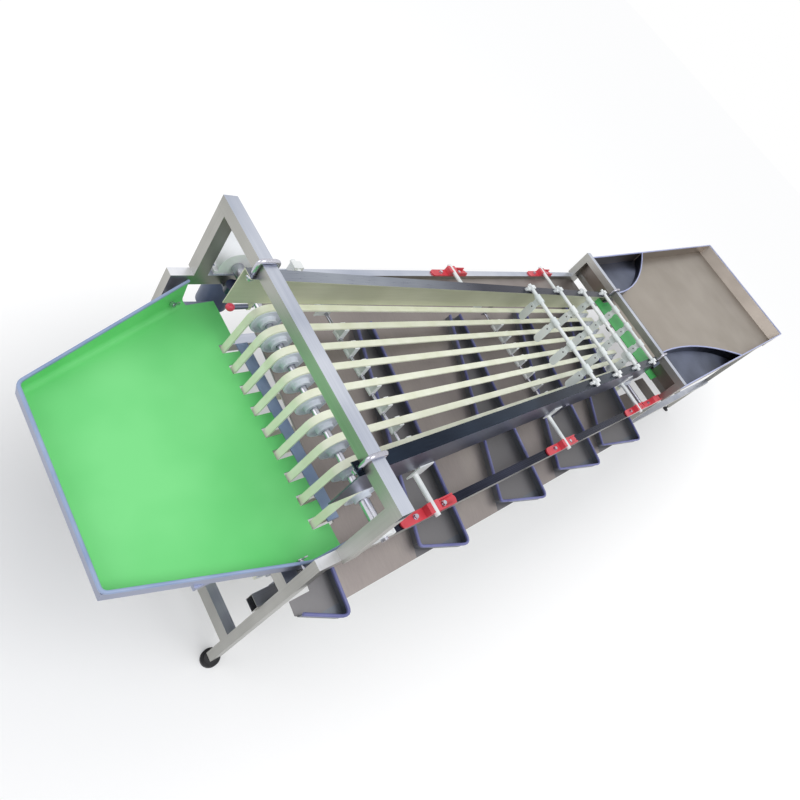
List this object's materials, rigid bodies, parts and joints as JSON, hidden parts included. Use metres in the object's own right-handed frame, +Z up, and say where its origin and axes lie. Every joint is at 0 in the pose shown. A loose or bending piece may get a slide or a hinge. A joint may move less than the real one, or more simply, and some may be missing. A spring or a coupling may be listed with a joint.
{
  "type": "fruit grading machine",
  "caption": "Belt fruit grading machine with diverging sorting belts, hanging flaps, side outlets on a sloped deck, a green lined discharge tray and a sloped feed tray",
  "frame": {"origin": "middle of the plan at floor level", "axes": "+X along the belts towards the feed tray, +Y towards the side without outlets, +Z up"},
  "size_m": [4.8125, 1.1842, 1.1759],
  "materials": {
    "frame_tube": "satin stainless tube",
    "sheet_steel": "brushed stainless sheet",
    "plate_steel": "brushed stainless plate",
    "bright_steel": "bright turned and plated steel",
    "green_mat": "smooth soft green lining sheet",
    "rubber_edging": "push-on rubber edging, blue violet",
    "black_rubber": "black rubber strip",
    "belt_pu": "cream polyurethane belt",
    "white_plastic": "white moulded plastic",
    "flap_silicone": "pale soft moulded flap",
    "red_paint": "red enamel",
    "red_plastic": "red moulded knob",
    "navy_plastic": "dark blue moulded knob",
    "motor_paint": "blue grey enamel",
    "cast_housing": "die-cast housing",
    "bronze": "machined bronze",
    "foot_black": "black moulded foot"
  },
  "bodies": {
    "frame": {"near_rail": "frame_tube", "far_rail": "frame_tube", "discharge_crossbar": "frame_tube", "feed_crossbar": "frame_tube", "portal_uprights": "frame_tube", "legs": "frame_tube", "cross_tubes": "frame_tube", "side_stretchers": "frame_tube", "levelling_feet": "foot_black", "discharge_tray": "sheet_steel", "tray_mat": "green_mat", "tray_edging": "rubber_edging", "sorting_deck": "sheet_steel", "deck_bearers": "frame_tube", "chute_walls": "sheet_steel", "chute_edging": "rubber_edging", "outlet_spouts": "sheet_steel", "near_side_plate": "plate_steel", "far_side_plate": "plate_steel", "plate_u_bolts": "bright_steel", "rail_brackets": "red_paint", "mounting_bolts": "bright_steel", "stand_off_rods": "white_plastic", "belt_supports": "bright_steel", "belt_guides": "white_plastic", "flap_rods": "white_plastic", "rod_clamps": "white_plastic", "sorting_belts": "belt_pu", "feed_tray": "sheet_steel", "feed_edging": "rubber_edging", "feed_baffles": "sheet_steel", "apron_mat": "green_mat", "rubber_strip": "black_rubber", "shaft_bearing": "white_plastic", "idler_hangers": "sheet_steel", "gearbox": "cast_housing", "drive_motor": "motor_paint"},
    "drive": {"drive_shaft": "bright_steel", "drive_pulleys": "white_plastic", "worm_wheel": "bronze"},
    "worm": {"worm_shaft": "bright_steel"},
    "low_discharge_roll": {"lower_discharge_idler": "white_plastic"},
    "low_feed_roll": {"lower_feed_idler": "white_plastic"},
    "high_feed_roll": {"upper_feed_idler": "white_plastic"},
    "tension_knob": {"red_knob": "red_plastic"},
    "height_knob": {"black_knob": "navy_plastic"},
    "flap_a1_body": {"flap_a1": "flap_silicone"},
    "flap_a2_body": {"flap_a2": "flap_silicone"},
    "flap_a3_body": {"flap_a3": "flap_silicone"},
    "flap_a4_body": {"flap_a4": "flap_silicone"},
    "flap_b1_body": {"flap_b1": "flap_silicone"},
    "flap_b2_body": {"flap_b2": "flap_silicone"},
    "flap_b3_body": {"flap_b3": "flap_silicone"},
    "flap_c1_body": {"flap_c1": "flap_silicone"},
    "flap_c2_body": {"flap_c2": "flap_silicone"},
    "flap_c3_body": {"flap_c3": "flap_silicone"},
    "flap_c4_body": {"flap_c4": "flap_silicone"},
    "flap_d1_body": {"flap_d1": "flap_silicone"},
    "flap_d2_body": {"flap_d2": "flap_silicone"},
    "flap_d3_body": {"flap_d3": "flap_silicone"}
  },
  "joints": [
    {"name": "drive_spin", "type": "hinge", "parent": "frame", "child": "drive", "pos_m": [-1.832, 0.01008, 0.833], "axis": [0, 1, 0], "continuous": true},
    {"name": "worm_spin", "type": "hinge", "parent": "frame", "child": "worm", "pos_m": [-1.784, 0.54208, 0.7], "axis": [0, 0, 1], "continuous": true},
    {"name": "low_discharge_spin", "type": "hinge", "parent": "frame", "child": "low_discharge_roll", "pos_m": [-1.894, 0.01008, 0.38], "axis": [0, 1, 0], "continuous": true},
    {"name": "low_feed_spin", "type": "hinge", "parent": "frame", "child": "low_feed_roll", "pos_m": [0.262, 0.01008, 0.42], "axis": [0, 1, 0], "continuous": true},
    {"name": "high_feed_spin", "type": "hinge", "parent": "frame", "child": "high_feed_roll", "pos_m": [0.262, 0.01008, 0.723], "axis": [0, 1, 0], "continuous": true},
    {"name": "tension_turn", "type": "hinge", "parent": "frame", "child": "tension_knob", "pos_m": [-1.945, 0.27858, 0.8777], "axis": [1, 0, 0], "range_deg": [-720, 720]},
    {"name": "height_turn", "type": "hinge", "parent": "frame", "child": "height_knob", "pos_m": [-1.85, 0.41008, 0.78], "axis": [0, 0, 1], "range_deg": [-720, 720]},
    {"name": "flap_a1_swing", "type": "hinge", "parent": "frame", "child": "flap_a1_body", "pos_m": [-0.575, 0.16295, 0.9836], "axis": [0, 1, 0], "range_deg": [-60, 80]},
    {"name": "flap_a2_swing", "type": "hinge", "parent": "frame", "child": "flap_a2_body", "pos_m": [-0.575, 0.03304, 0.9836], "axis": [0, 1, 0], "range_deg": [-60, 80]},
    {"name": "flap_a3_swing", "type": "hinge", "parent": "frame", "child": "flap_a3_body", "pos_m": [-0.575, -0.09687, 0.9836], "axis": [0, 1, 0], "range_deg": [-60, 80]},
    {"name": "flap_a4_swing", "type": "hinge", "parent": "frame", "child": "flap_a4_body", "pos_m": [-0.575, -0.22678, 0.9836], "axis": [0, 1, 0], "range_deg": [-60, 80]},
    {"name": "flap_b1_swing", "type": "hinge", "parent": "frame", "child": "flap_b1_body", "pos_m": [-0.306, 0.0943, 0.9705], "axis": [0, 1, 0], "range_deg": [-60, 80]},
    {"name": "flap_b2_swing", "type": "hinge", "parent": "frame", "child": "flap_b2_body", "pos_m": [-0.306, -0.03192, 0.9705], "axis": [0, 1, 0], "range_deg": [-60, 80]},
    {"name": "flap_b3_swing", "type": "hinge", "parent": "frame", "child": "flap_b3_body", "pos_m": [-0.306, -0.15813, 0.9705], "axis": [0, 1, 0], "range_deg": [-60, 80]},
    {"name": "flap_c1_swing", "type": "hinge", "parent": "frame", "child": "flap_c1_body", "pos_m": [-0.037, 0.15185, 0.9574], "axis": [0, 1, 0], "range_deg": [-60, 80]},
    {"name": "flap_c2_swing", "type": "hinge", "parent": "frame", "child": "flap_c2_body", "pos_m": [-0.037, 0.02934, 0.9574], "axis": [0, 1, 0], "range_deg": [-60, 80]},
    {"name": "flap_c3_swing", "type": "hinge", "parent": "frame", "child": "flap_c3_body", "pos_m": [-0.037, -0.09317, 0.9574], "axis": [0, 1, 0], "range_deg": [-60, 80]},
    {"name": "flap_c4_swing", "type": "hinge", "parent": "frame", "child": "flap_c4_body", "pos_m": [-0.037, -0.21568, 0.9574], "axis": [0, 1, 0], "range_deg": [-60, 80]},
    {"name": "flap_d1_swing", "type": "hinge", "parent": "frame", "child": "flap_d1_body", "pos_m": [0.232, 0.0869, 0.9443], "axis": [0, 1, 0], "range_deg": [-40, 80]},
    {"name": "flap_d2_swing", "type": "hinge", "parent": "frame", "child": "flap_d2_body", "pos_m": [0.232, -0.03192, 0.9443], "axis": [0, 1, 0], "range_deg": [-40, 80]},
    {"name": "flap_d3_swing", "type": "hinge", "parent": "frame", "child": "flap_d3_body", "pos_m": [0.232, -0.15073, 0.9443], "axis": [0, 1, 0], "range_deg": [-40, 80]}
  ],
  "couplings": [
    {"joint": "worm_spin", "follows": "drive_spin", "ratio": 30},
    {"joint": "low_discharge_spin", "follows": "drive_spin", "ratio": 1},
    {"joint": "low_feed_spin", "follows": "drive_spin", "ratio": 1},
    {"joint": "high_feed_spin", "follows": "drive_spin", "ratio": 1}
  ]
}
